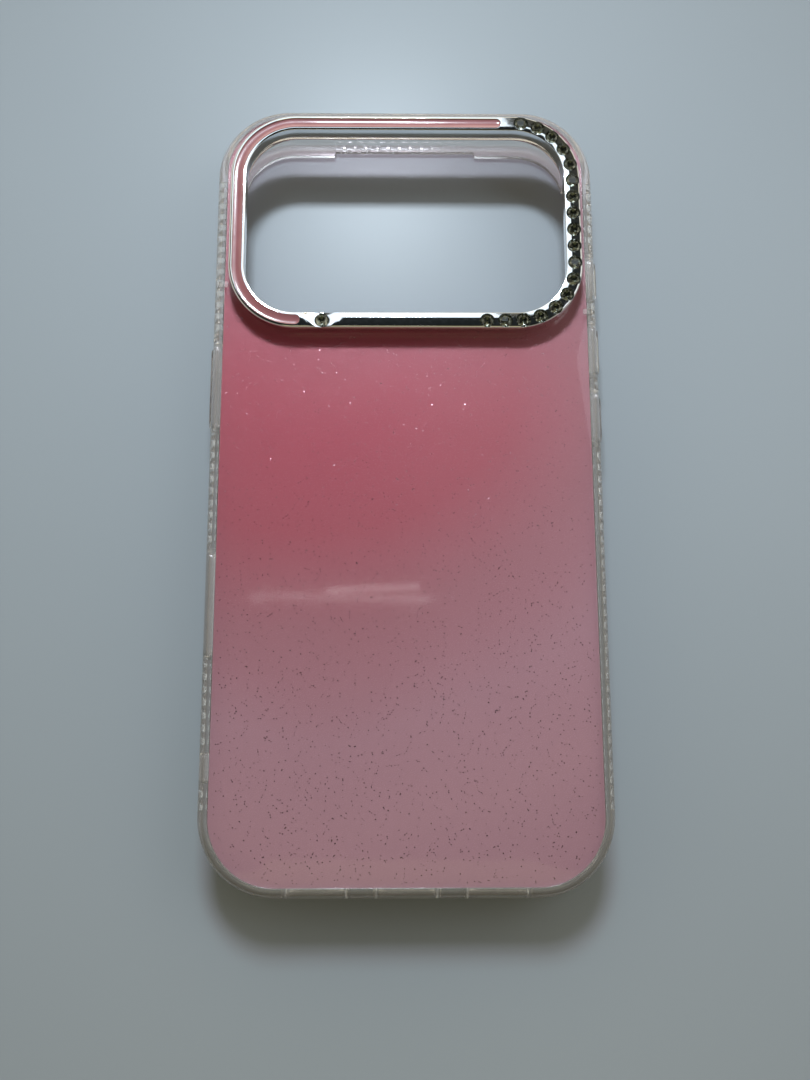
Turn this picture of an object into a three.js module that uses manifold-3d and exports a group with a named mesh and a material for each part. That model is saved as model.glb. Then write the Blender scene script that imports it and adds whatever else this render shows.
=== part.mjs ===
// A clear bumper case for a phone with a full-width camera island. A soft transparent frame holds a
// printed hard plate, and a plated bezel with an enamel channel and a row of set stones stands round
// the camera window. Four press caps ride in slots of the frame.
//
// Millimetres. +Z points out of the back plate, +Y points to the camera end, z = 0 is the plane of the
// front lip, and the origin is the centre of the case's footprint.
import * as THREE from "three";
import { mergeVertices } from "three/addons/utils/BufferGeometryUtils.js";
import Module from "manifold-3d";

const wasm = await Module();
wasm.setup();

// ---- driving dimensions ----

const PHONE_WIDTH = 71.9;
const PHONE_LENGTH = 150.0;
const PHONE_DEPTH = 8.75;
const PHONE_FIT = 0.1; // clearance on each side of the phone
const GLUE_GAP = 0.05; // thickness of an unmodelled bond line

const WALL = 2.0;
const CASE_HALF_X = PHONE_WIDTH / 2 + PHONE_FIT + WALL;
const CASE_HALF_Y = PHONE_LENGTH / 2 + PHONE_FIT + WALL;
const CASE_CORNER = 14.6;
const CORNER_STEPS = 12; // facets in each quarter turn

const LIP_DEPTH = 1.1; // height of the front lip, so the phone's glass starts here
const LIP_REACH = 3.45; // from the outer wall to the lip's inner edge
const LIP_REACH_CORNER = 4.45; // the lip is broader round the two camera-end corners
const LIP_STEP_X = 14.9; // where the broad lip gives way to the narrow one
const LIP_STEP_RUN = 0.5;
const LIP_EDGE = 0.35; // rounding of the lip's inner edge
const LIP_ROUND = 1.0; // inner rounding where the lip meets the wall
const FRONT_ROUND = { x: 1.9, z: 2.4 }; // outer rounding towards the lip
const BACK_ROUND = { x: 2.1, z: 4.4 }; // outer rounding towards the plate

const LEDGE_Z = LIP_DEPTH + PHONE_DEPTH + GLUE_GAP; // the plate rests on this shelf of the frame
const LEDGE_REACH = 4.15;
const LEDGE_EDGE = 0.15;
const PHONE_ROUND = 1.85; // the hollow follows the phone's rounded back edge
const PLATE_INSET = 2.5; // from the outer wall to the plate's edge
const FILM_THICKNESS = 0.15;
const PLATE_THICKNESS = 1.15;
const PLATE_EDGE = 0.25;
const FILM_Z = LEDGE_Z + GLUE_GAP;
const PLATE_Z = FILM_Z + FILM_THICKNESS + GLUE_GAP;
const BACK_Z = PLATE_Z + PLATE_THICKNESS;

const BEZEL_HALF_X = 34.5;
const BEZEL_HALF_Y = 22.35;
const BEZEL_CENTRE_Y = 50.95;
const BEZEL_CORNER = 13.0;
const BEZEL_BAND = 3.05;
const STONE_LINE = 1.45; // from the bezel's outer edge to the line of its stones
const ENAMEL_LINE = 1.6; // from the bezel's outer edge to the middle of its enamel channel
const BEZEL_FOOT = 0.3; // chamfer round the foot
const BEZEL_BASE_Z = BACK_Z + 0.2;
const BEZEL_TOP_Z = BEZEL_BASE_Z + 2.5;
const BEZEL_INNER_BEVEL = { start: 2.0, drop: 0.12 }; // the broad slight slope towards the window
const BEZEL_OUTER_BEVEL = { run: 0.3, drop: 0.3 };
const WINDOW_MARGIN = 0.4; // the plate's window is this much larger than the bezel's opening
const FIELD_MARGIN = 0.1; // from a covering neighbour to the edge of a panel's free field
const ADHESIVE = { inset: 0.3, thickness: 0.1, z: BACK_Z + GLUE_GAP };

const ENAMEL_START_X = 19.1; // where the enamel channel starts on the top edge
const ENAMEL_END_X = -20.4; // where it ends on the bottom edge
const CHANNEL = { halfWidth: 0.98, depth: 0.7 };
const ENAMEL = { halfWidth: 0.93, edge: 0.54, sag: 0.2, lean: 0.11 }; // dished, and lower on the outside

const STONE_COUNT = 18;
const STONE_FIRST_X = 15.7; // first stone of the row, on the bottom edge
const STONE_PITCH = 3.481; // along the line of the stones
const SINGLE_STONE_X = -16.2;
const STONE = { radius: 1.28, girdle: 0.14, crown: 0.62, table: 0.74, pavilion: 0.62, sink: 0.55 };
const SEAT = { radius: 1.4, depth: 0.75, cone: 0.8 };
const STONE_SIDES = 12;
const FACET = { reach: 3.1, run: 3.0, width: 6, height: 2, slopeDeg: 10, turnDeg: 38 };

const BUTTON = {
  z: 5.5,
  halfHeight: 1.5,
  proud: 0.6,
  flangeRim: 0.8,
  flangeThickness: 0.7,
  edge: 0.3,
  clearance: 0.25,
};
const BUTTONS = [
  { name: "side_button", side: -1, y: 18.9, halfLength: 8.3 },
  { name: "action_button", side: 1, y: 41.7, halfLength: 4.2 },
  { name: "volume_up_button", side: 1, y: 26.6, halfLength: 4.9 },
  { name: "volume_down_button", side: 1, y: 12.6, halfLength: 4.9 },
];

const CAMERA_KEY = { y: -24, halfLength: 10.6, z: 5.6, halfHeight: 2.5, flare: 0.9 };
const LANYARD_SLOT = { y: -54.2, halfLength: 2.8, z: 5.4, halfHeight: 1.1, flare: 0.3 };
const PORT = { pitch: 16.4, halfLength: 6.2, z: 5.5, halfHeight: 2.9, flare: 0.6 };
const STADIUM_STEPS = 6; // facets in each round end
const BAR_END_STEPS = 4; // facets in a quarter turn of a bar's round end
const CUT_INSIDE = 6; // cutters start this far inside the case's outline
const CUT_OUTSIDE = 1; // and run this far past the face that they open

const TAB = { root: 1.1, lap: 0.75, width: 1.1, thickness: 0.25, lift: 0.06, anchor: 0.5 };
const TABS = [
  { side: -1, y: 38.4 },
  { side: 1, y: 32.9 },
];

// ---- materials ----

function plastic(name, colour, roughness, opacity = 1) {
  const material = new THREE.MeshStandardMaterial({ color: colour, roughness, metalness: 0 });
  material.name = name;
  material.transparent = opacity < 1;
  material.opacity = opacity;
  return material;
}

function metal(name, colour, roughness) {
  const material = new THREE.MeshStandardMaterial({ color: colour, roughness, metalness: 1 });
  material.name = name;
  return material;
}

const clearFrame = () => plastic("clear_tpu", 0xd9d6d0, 0.2, 0.35);
const clearPlate = () => plastic("clear_plate", 0xe9cdd2, 0.12, 0.4);
const pinkFilm = () => plastic("pink_print", 0xb07580, 0.5);
const bezelChrome = () => metal("chrome", 0xdfe1e2, 0.06);
const pinkEnamel = () => plastic("pink_enamel", 0xa56e70, 0.12);
const crystal = () => plastic("crystal", 0x9a9c96, 0.03, 0.6);
const adhesiveFoam = () => plastic("adhesive", 0x2f3032, 0.8);
const buttonCap = () => plastic("button_cap", 0xb9bcc0, 0.15, 0.6);

// ---- meshes and solids ----

// A closed geometry from bare points and triangles, turned so that its faces point outwards.
function closedGeometry(points, triangles) {
  let volume = 0;
  const a = new THREE.Vector3();
  const b = new THREE.Vector3();
  const c = new THREE.Vector3();
  for (const [i, j, k] of triangles) {
    a.fromArray(points[i]);
    b.fromArray(points[j]);
    c.fromArray(points[k]);
    volume += a.dot(b.cross(c));
  }
  const index = triangles.flatMap(([i, j, k]) => (volume < 0 ? [i, k, j] : [i, j, k]));
  const geometry = new THREE.BufferGeometry();
  geometry.setAttribute("position", new THREE.Float32BufferAttribute(points.flat(), 3));
  geometry.setIndex(index);
  return geometry;
}

function solidOf(geometry) {
  const bare = geometry.clone();
  bare.deleteAttribute("normal");
  bare.deleteAttribute("uv");
  const merged = mergeVertices(bare, 1e-4);
  const mesh = new wasm.Mesh({
    numProp: 3,
    vertProperties: new Float32Array(merged.attributes.position.array),
    triVerts: new Uint32Array(merged.index.array),
  });
  return new wasm.Manifold(mesh);
}

function geometryOf(solid) {
  const mesh = solid.getMesh();
  const geometry = new THREE.BufferGeometry();
  geometry.setAttribute("position", new THREE.BufferAttribute(mesh.vertProperties, 3));
  geometry.setIndex(new THREE.BufferAttribute(mesh.triVerts, 1));
  return geometry;
}

function cutAll(geometry, cutters) {
  let solid = solidOf(geometry);
  for (const cutter of cutters) {
    solid = solid.subtract(solidOf(cutter));
  }
  return solid;
}

function node(name, geometry, material) {
  const shaded = geometry.toNonIndexed();
  shaded.computeVertexNormals();
  const mesh = new THREE.Mesh(shaded, material);
  mesh.name = name;
  return mesh;
}

// ---- outlines ----

function station(x, y, nx, ny) {
  return { x, y, nx, ny };
}

// A point of a rounded rectangle and its outward normal, found by the length walked anticlockwise
// from the middle of the lower side. The rectangle's centre is on the Y axis.
function perimeterPoint(rect, length) {
  const straightX = rect.halfX - rect.corner;
  const straightY = rect.halfY - rect.corner;
  const arc = (Math.PI / 2) * rect.corner;
  const legs = [
    { run: straightX, from: [0, -rect.halfY], heading: 0 },
    { turn: arc, centre: [straightX, -straightY], start: -90 },
    { run: 2 * straightY, from: [rect.halfX, -straightY], heading: 90 },
    { turn: arc, centre: [straightX, straightY], start: 0 },
    { run: 2 * straightX, from: [straightX, rect.halfY], heading: 180 },
    { turn: arc, centre: [-straightX, straightY], start: 90 },
    { run: 2 * straightY, from: [-rect.halfX, straightY], heading: 270 },
    { turn: arc, centre: [-straightX, -straightY], start: 180 },
    { run: straightX, from: [-straightX, -rect.halfY], heading: 0 },
  ];
  const total = 4 * (straightX + straightY + arc);
  let left = ((length % total) + total) % total;
  for (const leg of legs) {
    const size = leg.run ?? leg.turn;
    if (left <= size + 1e-9) {
      return leg.turn ? pointOnTurn(rect, leg, left / rect.corner) : pointOnRun(rect, leg, left);
    }
    left -= size;
  }
  return pointOnRun(rect, legs[0], 0);
}

function pointOnRun(rect, leg, distance) {
  const heading = THREE.MathUtils.degToRad(leg.heading);
  const x = leg.from[0] + distance * Math.cos(heading);
  const y = leg.from[1] + distance * Math.sin(heading) + rect.centreY;
  return station(x, y, Math.sin(heading), -Math.cos(heading));
}

function pointOnTurn(rect, leg, turned) {
  const angle = THREE.MathUtils.degToRad(leg.start) + turned;
  const nx = Math.cos(angle);
  const ny = Math.sin(angle);
  return station(leg.centre[0] + rect.corner * nx, leg.centre[1] + rect.corner * ny + rect.centreY, nx, ny);
}

function perimeter(rect) {
  const straight = rect.halfX - rect.corner + (rect.halfY - rect.corner);
  return 4 * (straight + (Math.PI / 2) * rect.corner);
}

// Lengths along the outline at which a facet starts: the ends of the arcs and the steps within them.
function facetLengths(rect) {
  const straightX = rect.halfX - rect.corner;
  const straightY = rect.halfY - rect.corner;
  const arc = (Math.PI / 2) * rect.corner;
  const arcStarts = [
    straightX,
    straightX + arc + 2 * straightY,
    3 * straightX + 2 * arc + 2 * straightY,
    3 * straightX + 3 * arc + 4 * straightY,
  ];
  return arcStarts.flatMap((start) =>
    Array.from({ length: CORNER_STEPS + 1 }, (_, i) => start + (arc * i) / CORNER_STEPS),
  );
}

// Stations all the way round, with any further lengths that the shape needs.
function ringStations(rect, further = []) {
  const lengths = [...facetLengths(rect), ...further].sort((p, q) => p - q);
  return lengths.map((length) => perimeterPoint(rect, length));
}

// ---- swept shapes ----

// A closed ring: the section, a loop of [outward offset, z], is carried round the outline.
function sweepRing(stations, sectionAt) {
  const sections = stations.map((place) => sectionAt(place));
  const size = sections[0].length;
  const points = [];
  const triangles = [];
  stations.forEach((place, s) => {
    for (const [offset, z] of sections[s]) {
      points.push([place.x + place.nx * offset, place.y + place.ny * offset, z]);
    }
    joinLoops(triangles, s * size, ((s + 1) % stations.length) * size, size);
  });
  return closedGeometry(points, triangles);
}

function joinLoops(triangles, first, second, size) {
  for (let i = 0; i < size; i++) {
    const next = (i + 1) % size;
    triangles.push([first + i, second + i, second + next]);
    triangles.push([first + i, second + next, first + next]);
  }
}

function closeLoop(triangles, first, size, flip) {
  for (let i = 1; i < size - 1; i++) {
    const triangle = [first, first + i, first + i + 1];
    triangles.push(flip ? triangle.reverse() : triangle);
  }
}

// A bar along part of the outline. The section narrows over the last half width at each end, so the
// ends are round in plan.
function sweepBar(rect, from, to, halfWidth, sectionOf) {
  const points = [];
  const triangles = [];
  const places = barPlaces(rect, from, to, halfWidth);
  const size = sectionOf(1).length;
  places.forEach((place, s) => {
    const at = perimeterPoint(rect, place.length);
    for (const [offset, z] of sectionOf(place.scale)) {
      points.push([at.x + at.nx * offset, at.y + at.ny * offset, z]);
    }
    if (s > 0) {
      joinLoops(triangles, (s - 1) * size, s * size, size);
    }
  });
  closeLoop(triangles, 0, size, false);
  closeLoop(triangles, (places.length - 1) * size, size, true);
  return closedGeometry(points, triangles);
}

function barPlaces(rect, from, to, halfWidth) {
  const angles = Array.from({ length: BAR_END_STEPS }, (_, i) => (Math.PI / 2) * (i / BAR_END_STEPS));
  const end = angles.map((angle) => ({ back: halfWidth * (1 - Math.sin(angle)), scale: Math.cos(angle) }));
  const middle = facetLengths(rect).filter((length) => length > from + 1 && length < to - 1);
  return [
    ...end.toReversed().map(({ back, scale }) => ({ length: from + back, scale })),
    ...middle.map((length) => ({ length, scale: 1 })),
    ...end.map(({ back, scale }) => ({ length: to - back, scale })),
  ];
}

// A stack of loops closed by a flat face at each end. Every loop is convex.
function loft(loops) {
  const size = loops[0].length;
  const triangles = [];
  for (let i = 1; i < loops.length; i++) {
    joinLoops(triangles, (i - 1) * size, i * size, size);
  }
  closeLoop(triangles, 0, size, false);
  closeLoop(triangles, (loops.length - 1) * size, size, true);
  return closedGeometry(loops.flat(), triangles);
}

// A prism with round ends, long in Y and standing on the X axis, with its own size at each level.
function stadiumLoft(levels) {
  return loft(levels.map((level) => stadiumLoop(level)));
}

function stadiumLoop({ at, halfLength, halfHeight }) {
  const straight = halfLength - halfHeight;
  const loop = [];
  for (const end of [1, -1]) {
    for (let i = 0; i <= STADIUM_STEPS; i++) {
      const angle = Math.PI * (i / STADIUM_STEPS - 0.5);
      loop.push([at, end * (straight + halfHeight * Math.cos(angle)), end * halfHeight * Math.sin(angle)]);
    }
  }
  return loop;
}

// Grows a stadium by the same margin all round.
function grown(size, margin) {
  return { halfLength: size.halfLength + margin, halfHeight: size.halfHeight + margin };
}

function onSide(geometry, side, y, z) {
  return geometry.rotateZ(side > 0 ? 0 : Math.PI).translate(0, y, z);
}

// ---- the frame ----

const caseRect = { halfX: CASE_HALF_X, halfY: CASE_HALF_Y, corner: CASE_CORNER, centreY: 0 };

// Length along an outline at which its upper side reaches x.
function lengthOnTop(rect, x) {
  return perimeter(rect) / 2 - x;
}

function quarterArc(centre, radii, startDeg, steps) {
  return Array.from({ length: steps + 1 }, (_, i) => {
    const angle = THREE.MathUtils.degToRad(startDeg + (90 * i) / steps);
    return [centre[0] + radii[0] * Math.cos(angle), centre[1] + radii[1] * Math.sin(angle)];
  });
}

function lipReach(place) {
  const broad = place.ny > 0.2 && Math.abs(place.x) > LIP_STEP_X;
  return broad ? LIP_REACH_CORNER : LIP_REACH;
}

// Offsets count outwards from the case's outer outline.
function frameSection(place) {
  const reach = lipReach(place);
  const hollowTop = LEDGE_Z - LEDGE_EDGE - PHONE_ROUND;
  return [
    [-reach, LIP_EDGE],
    [-reach + LIP_EDGE, 0],
    ...quarterArc([-FRONT_ROUND.x, FRONT_ROUND.z], [FRONT_ROUND.x, FRONT_ROUND.z], 270, 4),
    ...quarterArc([-BACK_ROUND.x, BACK_Z - BACK_ROUND.z], [BACK_ROUND.x, BACK_ROUND.z], 0, 5),
    [-PLATE_INSET + GLUE_GAP, BACK_Z],
    [-PLATE_INSET + GLUE_GAP, LEDGE_Z],
    [-LEDGE_REACH, LEDGE_Z],
    ...quarterArc([-LEDGE_REACH, hollowTop], [LEDGE_REACH - WALL, PHONE_ROUND], 0, 3).reverse(),
    ...quarterArc([-WALL - LIP_ROUND, LIP_DEPTH + LIP_ROUND], [LIP_ROUND, LIP_ROUND], 270, 3).reverse(),
    [-reach, LIP_DEPTH],
  ];
}

// A slot through the frame's wall, the same size inside and flared over its last stretch outside.
function wallSlot(half, slot) {
  const mouth = grown(slot, slot.flare);
  return stadiumLoft([
    { at: half - CUT_INSIDE, ...slot },
    { at: half - slot.flare, ...slot },
    { at: half, ...mouth },
    { at: half + CUT_OUTSIDE, ...mouth },
  ]);
}

function buttonSlot(button) {
  const opening = grown(buttonSize(button), BUTTON.clearance);
  const recess = grown(opening, BUTTON.flangeRim);
  const shoulder = CASE_HALF_X - WALL + BUTTON.flangeThickness + BUTTON.clearance / 2;
  return stadiumLoft([
    { at: CASE_HALF_X - CUT_INSIDE, ...recess },
    { at: shoulder, ...recess },
    { at: shoulder, ...opening },
    { at: CASE_HALF_X + CUT_OUTSIDE, ...opening },
  ]);
}

function bottomPort(index) {
  const port = wallSlot(CASE_HALF_Y, PORT);
  return port.rotateZ(-Math.PI / 2).translate(index * PORT.pitch, 0, PORT.z);
}

// A small tab of the frame that laps over the plate's edge.
function keeperTab(tab) {
  const outer = CASE_HALF_X - PLATE_INSET + TAB.root;
  const height = TAB.lift + TAB.thickness;
  const root = new THREE.BoxGeometry(TAB.root - GLUE_GAP, TAB.width, height + TAB.anchor);
  root.translate(outer - (TAB.root - GLUE_GAP) / 2, 0, (height - TAB.anchor) / 2);
  const tongue = new THREE.BoxGeometry(TAB.root + TAB.lap, TAB.width, TAB.thickness);
  tongue.translate(outer - (TAB.root + TAB.lap) / 2, 0, TAB.lift + TAB.thickness / 2);
  return [root, tongue].map((part) => onSide(part, tab.side, tab.y, BACK_Z));
}

function bumperFrame() {
  const stops = [-1, 1].flatMap((side) => [
    lengthOnTop(caseRect, side * (LIP_STEP_X - LIP_STEP_RUN / 2)),
    lengthOnTop(caseRect, side * (LIP_STEP_X + LIP_STEP_RUN / 2)),
  ]);
  const ring = sweepRing(ringStations(caseRect, stops), frameSection);
  let solid = cutAll(ring, [
    ...BUTTONS.map((button) => onSide(buttonSlot(button), button.side, button.y, BUTTON.z)),
    onSide(wallSlot(CASE_HALF_X, CAMERA_KEY), -1, CAMERA_KEY.y, CAMERA_KEY.z),
    onSide(wallSlot(CASE_HALF_X, LANYARD_SLOT), -1, LANYARD_SLOT.y, LANYARD_SLOT.z),
    ...[-1, 0, 1].map((index) => bottomPort(index)),
  ]);
  for (const piece of TABS.flatMap((tab) => keeperTab(tab))) {
    solid = solid.add(solidOf(piece));
  }
  return node("bumper_frame", geometryOf(solid), clearFrame());
}

// ---- plate, print film and bezel bond ----

const bezelRect = {
  halfX: BEZEL_HALF_X,
  halfY: BEZEL_HALF_Y,
  corner: BEZEL_CORNER,
  centreY: BEZEL_CENTRE_Y,
};

function insetRect(rect, inset) {
  return {
    halfX: rect.halfX - inset,
    halfY: rect.halfY - inset,
    corner: rect.corner - inset,
    centreY: rect.centreY,
  };
}

// An outline's points at one height.
function ringPoints(rect, z) {
  return ringStations(rect).map(({ x, y }) => [x, y, z]);
}

// A flat face between an outer outline and a window. Each is a list of nested outlines from the
// outside in, so that a stretch that a neighbour covers is split from the free field.
function windowedFace(points, triangles, outers, windows, z, up) {
  const facing = (a, b, c) => {
    const turn = (b[0] - a[0]) * (c[1] - a[1]) - (b[1] - a[1]) * (c[0] - a[0]);
    return turn > 0 === up;
  };
  const starts = [...outers, ...windows].map((rect) => {
    points.push(...ringPoints(rect, z));
    return points.length - ringStations(rect).length;
  });
  const found = [];
  const size = ringStations(outers[0]).length;
  for (let i = 1; i < starts.length; i++) {
    if (i === outers.length) {
      const [contour, hole] = [outers.at(-1), windows[0]].map((rect) =>
        ringStations(rect).map(({ x, y }) => new THREE.Vector2(x, y)),
      );
      const corner = (index) => (index < size ? starts[i - 1] + index : starts[i] + index - size);
      found.push(...THREE.ShapeUtils.triangulateShape(contour, [hole]).map((face) => face.map(corner)));
    } else {
      joinLoops(found, starts[i - 1], starts[i], size);
    }
  }
  for (const [a, b, c] of found) {
    triangles.push(facing(points[a], points[b], points[c]) ? [a, b, c] : [a, c, b]);
  }
  return { outer: starts[0], window: starts.at(-1), size };
}

// A panel with a window: its lower face, its upper face and any loops of the outer edge between them.
function windowedPanel(lower, upper, edges) {
  const points = [];
  const triangles = [];
  const below = windowedFace(points, triangles, lower.outers, lower.windows, lower.z, false);
  let last = below.outer;
  for (const { rect, z } of edges) {
    const next = points.length;
    points.push(...ringPoints(rect, z));
    joinLoops(triangles, next, last, below.size);
    last = next;
  }
  const above = windowedFace(points, triangles, upper.outers, upper.windows, upper.z, true);
  joinLoops(triangles, above.outer, last, below.size);
  joinLoops(triangles, below.window, above.window, below.size);
  return closedGeometry(points, triangles);
}

const plateRect = insetRect(caseRect, PLATE_INSET);
const windowRect = insetRect(bezelRect, BEZEL_BAND - WINDOW_MARGIN);

function backPlate() {
  const collar = insetRect(bezelRect, -FIELD_MARGIN);
  const panel = windowedPanel(
    { z: PLATE_Z, outers: [plateRect], windows: [windowRect] },
    { z: BACK_Z, outers: [insetRect(plateRect, PLATE_EDGE)], windows: [collar, windowRect] },
    [{ rect: plateRect, z: BACK_Z - PLATE_EDGE }],
  );
  return node("back_plate", panel, clearPlate());
}

function printFilm() {
  const shelf = insetRect(caseRect, LEDGE_REACH + FIELD_MARGIN);
  const panel = windowedPanel(
    { z: FILM_Z, outers: [plateRect, shelf], windows: [windowRect] },
    { z: FILM_Z + FILM_THICKNESS, outers: [plateRect], windows: [windowRect] },
    [],
  );
  return node("print_film", panel, pinkFilm());
}

function adhesiveRing() {
  const outer = -ADHESIVE.inset;
  const inner = -BEZEL_BAND + WINDOW_MARGIN + ADHESIVE.inset;
  const top = ADHESIVE.z + ADHESIVE.thickness;
  const section = [
    [inner, ADHESIVE.z],
    [outer, ADHESIVE.z],
    [outer, top],
    [inner, top],
  ];
  return node("bezel_adhesive_ring", sweepRing(ringStations(bezelRect), () => section), adhesiveFoam());
}

// ---- bezel, enamel and stones ----

const stoneRect = insetRect(bezelRect, STONE_LINE);
const enamelRect = insetRect(bezelRect, ENAMEL_LINE);

const enamelStart = lengthOnTop(enamelRect, ENAMEL_START_X);
const enamelEnd = perimeter(enamelRect) + ENAMEL_END_X;

// Offsets count outwards from the bezel's outer outline.
function bezelSection() {
  return [
    [-BEZEL_BAND, BEZEL_BASE_Z],
    [-BEZEL_FOOT, BEZEL_BASE_Z],
    [0, BEZEL_BASE_Z + BEZEL_FOOT],
    [0, BEZEL_TOP_Z - BEZEL_OUTER_BEVEL.drop],
    [-BEZEL_OUTER_BEVEL.run, BEZEL_TOP_Z],
    [-BEZEL_INNER_BEVEL.start, BEZEL_TOP_Z],
    [-BEZEL_BAND, BEZEL_TOP_Z - BEZEL_INNER_BEVEL.drop],
  ];
}

// The enamel's channel. Offsets here count from the line that it follows.
function channelSection(scale) {
  const half = CHANNEL.halfWidth * scale;
  return [
    [-half, BEZEL_TOP_Z - CHANNEL.depth],
    [half, BEZEL_TOP_Z - CHANNEL.depth],
    [half, BEZEL_TOP_Z + CUT_OUTSIDE],
    [-half, BEZEL_TOP_Z + CUT_OUTSIDE],
  ];
}

function enamelSection(scale) {
  const floor = BEZEL_TOP_Z - CHANNEL.depth + GLUE_GAP;
  const half = ENAMEL.halfWidth * scale;
  const surface = [1, 0.5, 0, -0.5, -1].map((share) => {
    const dip = ENAMEL.sag * (1 - share * share) + ENAMEL.lean * share;
    return [half * share, floor + ENAMEL.edge - dip * scale];
  });
  return [[-half, floor], [half, floor], ...surface];
}

function turned(profile) {
  const points = profile.map(([radius, z]) => new THREE.Vector2(radius, z));
  return new THREE.LatheGeometry(points, STONE_SIDES).rotateX(Math.PI / 2);
}

function stoneSeat() {
  return turned([
    [0, -SEAT.depth - SEAT.cone],
    [SEAT.radius, -SEAT.depth],
    [SEAT.radius, CUT_OUTSIDE],
    [0, CUT_OUTSIDE],
  ]);
}

function facetedStone() {
  return turned([
    [0, -STONE.pavilion],
    [STONE.radius, 0],
    [STONE.radius, STONE.girdle],
    [STONE.table, STONE.crown],
    [0, STONE.crown],
  ]);
}

const rowLengths = Array.from({ length: STONE_COUNT }, (_, i) => STONE_FIRST_X + i * STONE_PITCH);
const stonePlaces = [...rowLengths, SINGLE_STONE_X].map((length) => perimeterPoint(stoneRect, length));

// A sloping cut beside the single stone, which leaves a flat facet that falls towards the stone.
function facetCut(side) {
  const turn = THREE.MathUtils.degToRad(FACET.turnDeg);
  const block = new THREE.BoxGeometry(FACET.run, FACET.width, FACET.height);
  block.translate(-FACET.run / 2, 0, FACET.height / 2);
  block.rotateY(-THREE.MathUtils.degToRad(FACET.slopeDeg));
  block.rotateZ(side > 0 ? -turn : Math.PI + turn);
  const stone = stonePlaces.at(-1);
  return block.translate(stone.x + side * FACET.reach, stone.y, BEZEL_TOP_Z);
}

function cameraBezel() {
  const ring = sweepRing(ringStations(bezelRect), bezelSection);
  const seats = stonePlaces.map((place) => stoneSeat().translate(place.x, place.y, BEZEL_TOP_Z));
  const channel = sweepBar(enamelRect, enamelStart, enamelEnd, CHANNEL.halfWidth, channelSection);
  const solid = cutAll(ring, [channel, facetCut(1), facetCut(-1), ...seats]);
  return node("camera_bezel", geometryOf(solid), bezelChrome());
}

function enamelInlay() {
  const inset = CHANNEL.halfWidth - ENAMEL.halfWidth;
  const bar = sweepBar(enamelRect, enamelStart + inset, enamelEnd - inset, ENAMEL.halfWidth, enamelSection);
  return node("enamel_inlay", bar, pinkEnamel());
}

function stones() {
  return stonePlaces.map((place, i) => {
    const name = `rhinestone_${String(i + 1).padStart(2, "0")}`;
    const stone = node(name, geometryOf(solidOf(facetedStone())), crystal());
    stone.position.set(place.x, place.y, BEZEL_TOP_Z - STONE.sink);
    return stone;
  });
}

// ---- buttons ----

function buttonSize(button) {
  return { halfLength: button.halfLength, halfHeight: BUTTON.halfHeight };
}

function pressCap(button) {
  const cap = buttonSize(button);
  const flange = grown(cap, BUTTON.flangeRim);
  const inside = CASE_HALF_X - WALL;
  const outside = CASE_HALF_X + BUTTON.proud;
  const body = stadiumLoft([
    { at: inside, ...flange },
    { at: inside + BUTTON.flangeThickness, ...flange },
    { at: inside + BUTTON.flangeThickness, ...cap },
    { at: outside - BUTTON.edge, ...cap },
    { at: outside, ...grown(cap, -BUTTON.edge) },
  ]);
  return node(button.name, onSide(body, button.side, button.y, BUTTON.z), buttonCap());
}

// ---- assembly ----

const group = new THREE.Group();
group.add(bumperFrame(), backPlate(), printFilm(), adhesiveRing(), cameraBezel(), enamelInlay());
group.add(...stones());
group.add(...BUTTONS.map((button) => pressCap(button)));

export default group;
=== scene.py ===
"""A clear bumper phone case with a printed back plate and a plated, stone-set camera bezel.

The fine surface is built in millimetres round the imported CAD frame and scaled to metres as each
mesh is made. +Z points out of the back plate and +Y towards the camera end.
"""
import math
import random
from collections import namedtuple

import bmesh
import bpy
from mathutils import Matrix, Vector


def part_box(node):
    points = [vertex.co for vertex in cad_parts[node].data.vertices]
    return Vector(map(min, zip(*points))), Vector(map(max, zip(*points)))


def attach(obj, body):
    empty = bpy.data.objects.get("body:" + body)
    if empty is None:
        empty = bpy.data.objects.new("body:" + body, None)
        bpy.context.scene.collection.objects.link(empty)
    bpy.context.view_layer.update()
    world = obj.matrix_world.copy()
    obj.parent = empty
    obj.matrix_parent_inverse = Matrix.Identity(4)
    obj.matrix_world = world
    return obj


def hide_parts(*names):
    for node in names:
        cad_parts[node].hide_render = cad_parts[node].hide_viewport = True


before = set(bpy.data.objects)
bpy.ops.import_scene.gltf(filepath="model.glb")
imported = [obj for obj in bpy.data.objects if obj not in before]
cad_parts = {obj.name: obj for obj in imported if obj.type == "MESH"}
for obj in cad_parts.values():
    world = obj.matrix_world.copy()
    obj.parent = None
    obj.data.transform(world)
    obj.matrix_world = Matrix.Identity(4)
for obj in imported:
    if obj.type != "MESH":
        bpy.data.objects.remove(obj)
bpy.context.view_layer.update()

MM = 0.001


def box_mm(node):
    """Lowest and highest corner of a CAD node in millimetres."""
    low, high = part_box(node)
    return Vector(low) / MM, Vector(high) / MM


# ---- sizes taken from the frame ----

frame_low, frame_high = box_mm("bumper_frame")
plate_low, plate_high = box_mm("back_plate")
film_low, film_high = box_mm("print_film")
bezel_low, bezel_high = box_mm("camera_bezel")

CASE_HALF_X = frame_high.x
CASE_HALF_Y = frame_high.y
BACK_Z = plate_high.z
PLATE_INSET = CASE_HALF_X - plate_high.x
BEZEL_BASE_Z = bezel_low.z
BEZEL_TOP_Z = bezel_high.z

# ---- sizes of sections, in millimetres ----

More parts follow.
